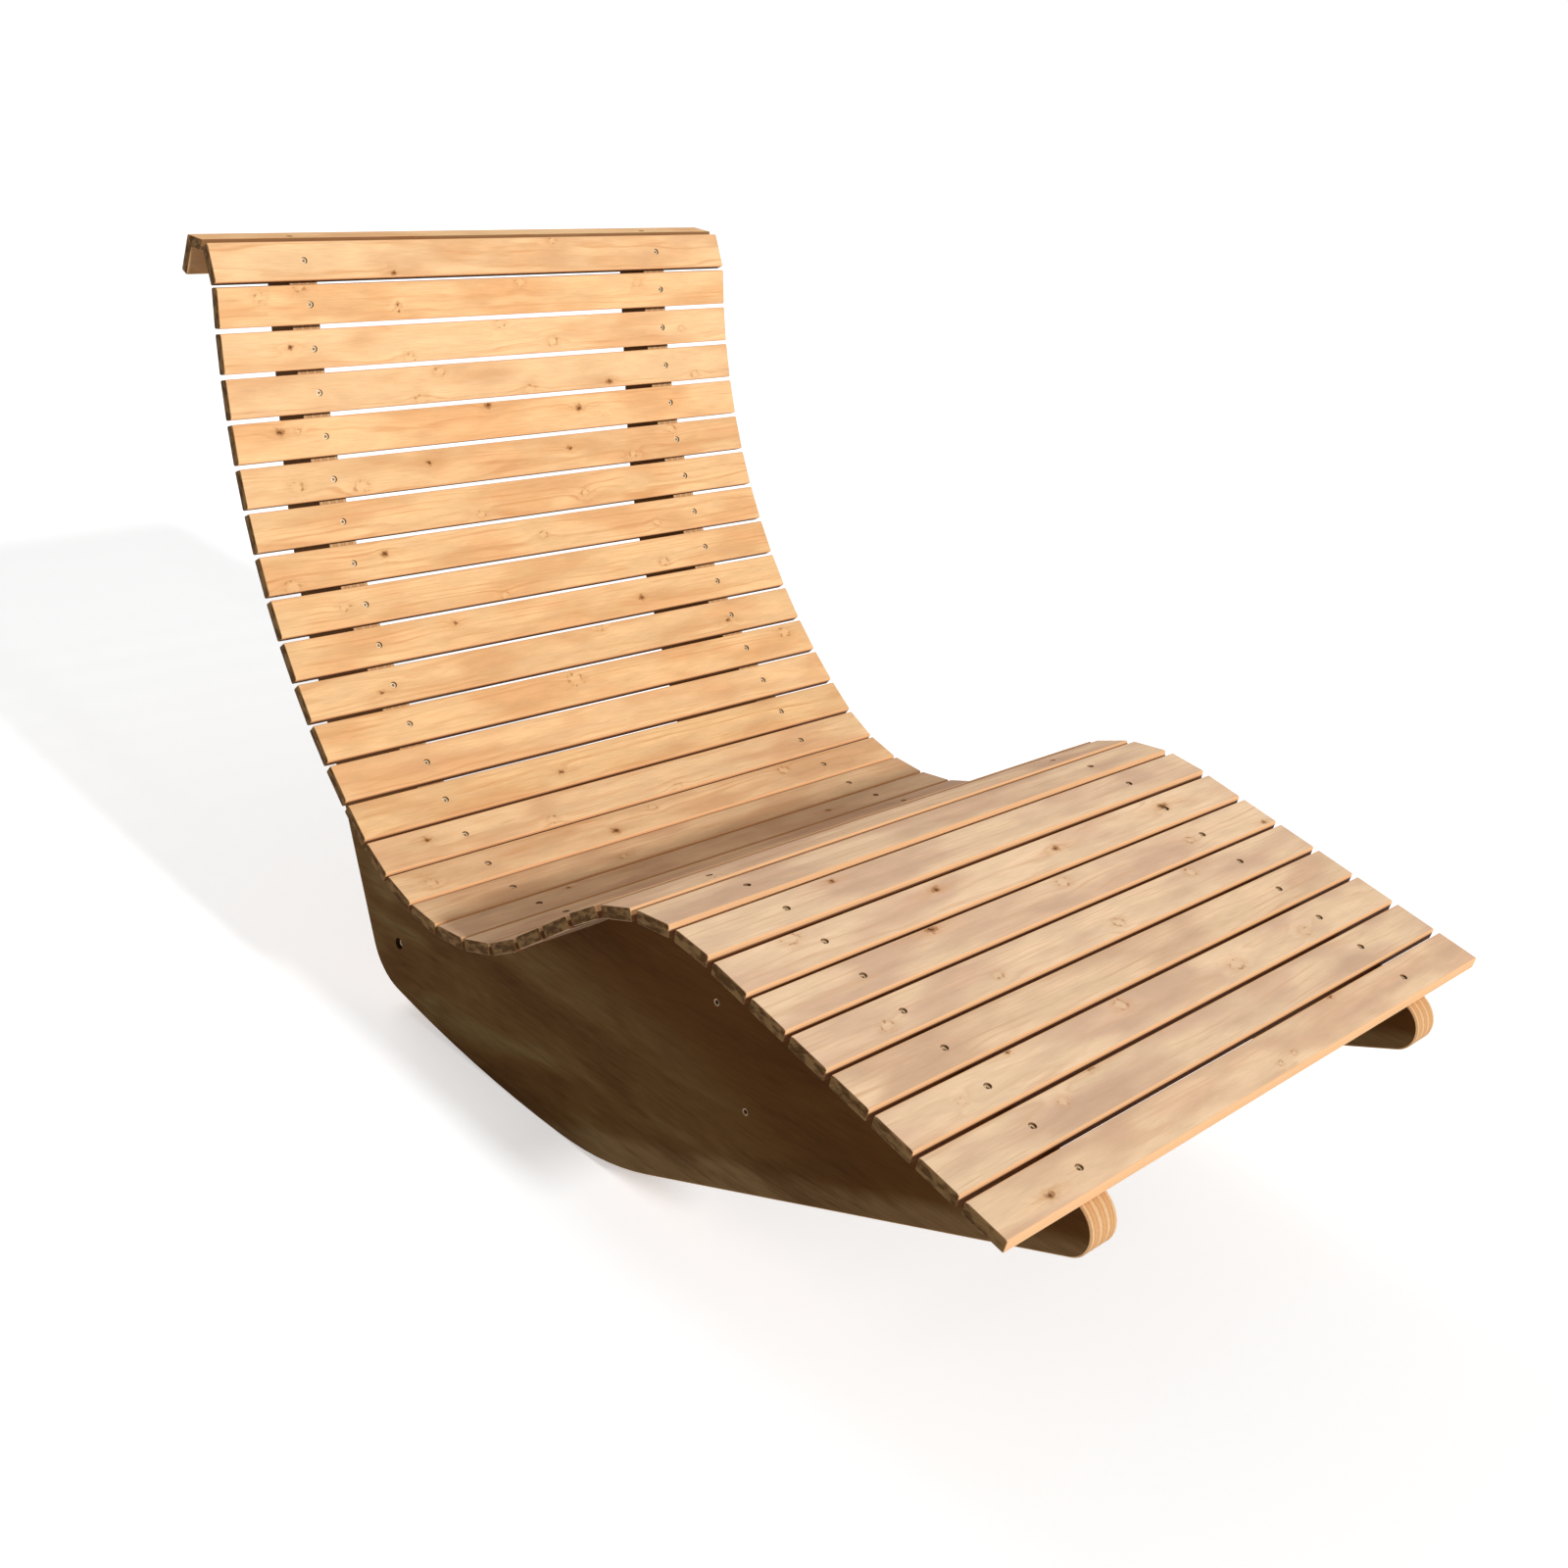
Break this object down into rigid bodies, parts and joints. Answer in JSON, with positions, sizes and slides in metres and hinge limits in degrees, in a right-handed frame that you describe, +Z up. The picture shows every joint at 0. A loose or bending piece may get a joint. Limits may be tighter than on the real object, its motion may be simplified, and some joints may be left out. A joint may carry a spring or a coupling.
{
  "type": "rocking chaise lounge",
  "caption": "Wooden rocking lounger: flat slats screwed across two S-shaped plywood cheeks with curved rocker edges.",
  "frame": {"origin": "centre of the bounding box's footprint, on the floor that the rockers stand on", "axes": "+X towards the foot end, +Y towards the sitter's left, +Z up; the lounger is at its resting balance point"},
  "size_m": [1.6057, 0.9, 1.056],
  "materials": {
    "softwood": "satin",
    "plywood": "satin",
    "screw_steel": "satin"
  },
  "bodies": {
    "root": {"board_screws": "screw_steel", "cheek_left": "plywood", "cheek_right": "plywood", "head_back_slat": "softwood", "head_cap_slat": "softwood", "heel_rail": "softwood", "knee_board": "plywood", "rail_bolts": "screw_steel", "slat_01": "softwood", "slat_02": "softwood", "slat_03": "softwood", "slat_04": "softwood", "slat_05": "softwood", "slat_06": "softwood", "slat_07": "softwood", "slat_08": "softwood", "slat_09": "softwood", "slat_10": "softwood", "slat_11": "softwood", "slat_12": "softwood", "slat_13": "softwood", "slat_14": "softwood", "slat_15": "softwood", "slat_16": "softwood", "slat_17": "softwood", "slat_18": "softwood", "slat_19": "softwood", "slat_20": "softwood", "slat_21": "softwood", "slat_22": "softwood", "slat_23": "softwood", "slat_24": "softwood", "slat_25": "softwood", "slat_26": "softwood", "slat_27": "softwood", "slat_28": "softwood", "slat_29": "softwood", "slat_30": "softwood", "slat_31": "softwood", "slat_32": "softwood", "slat_33": "softwood", "slat_screws": "screw_steel"}
  },
  "joints": []
}
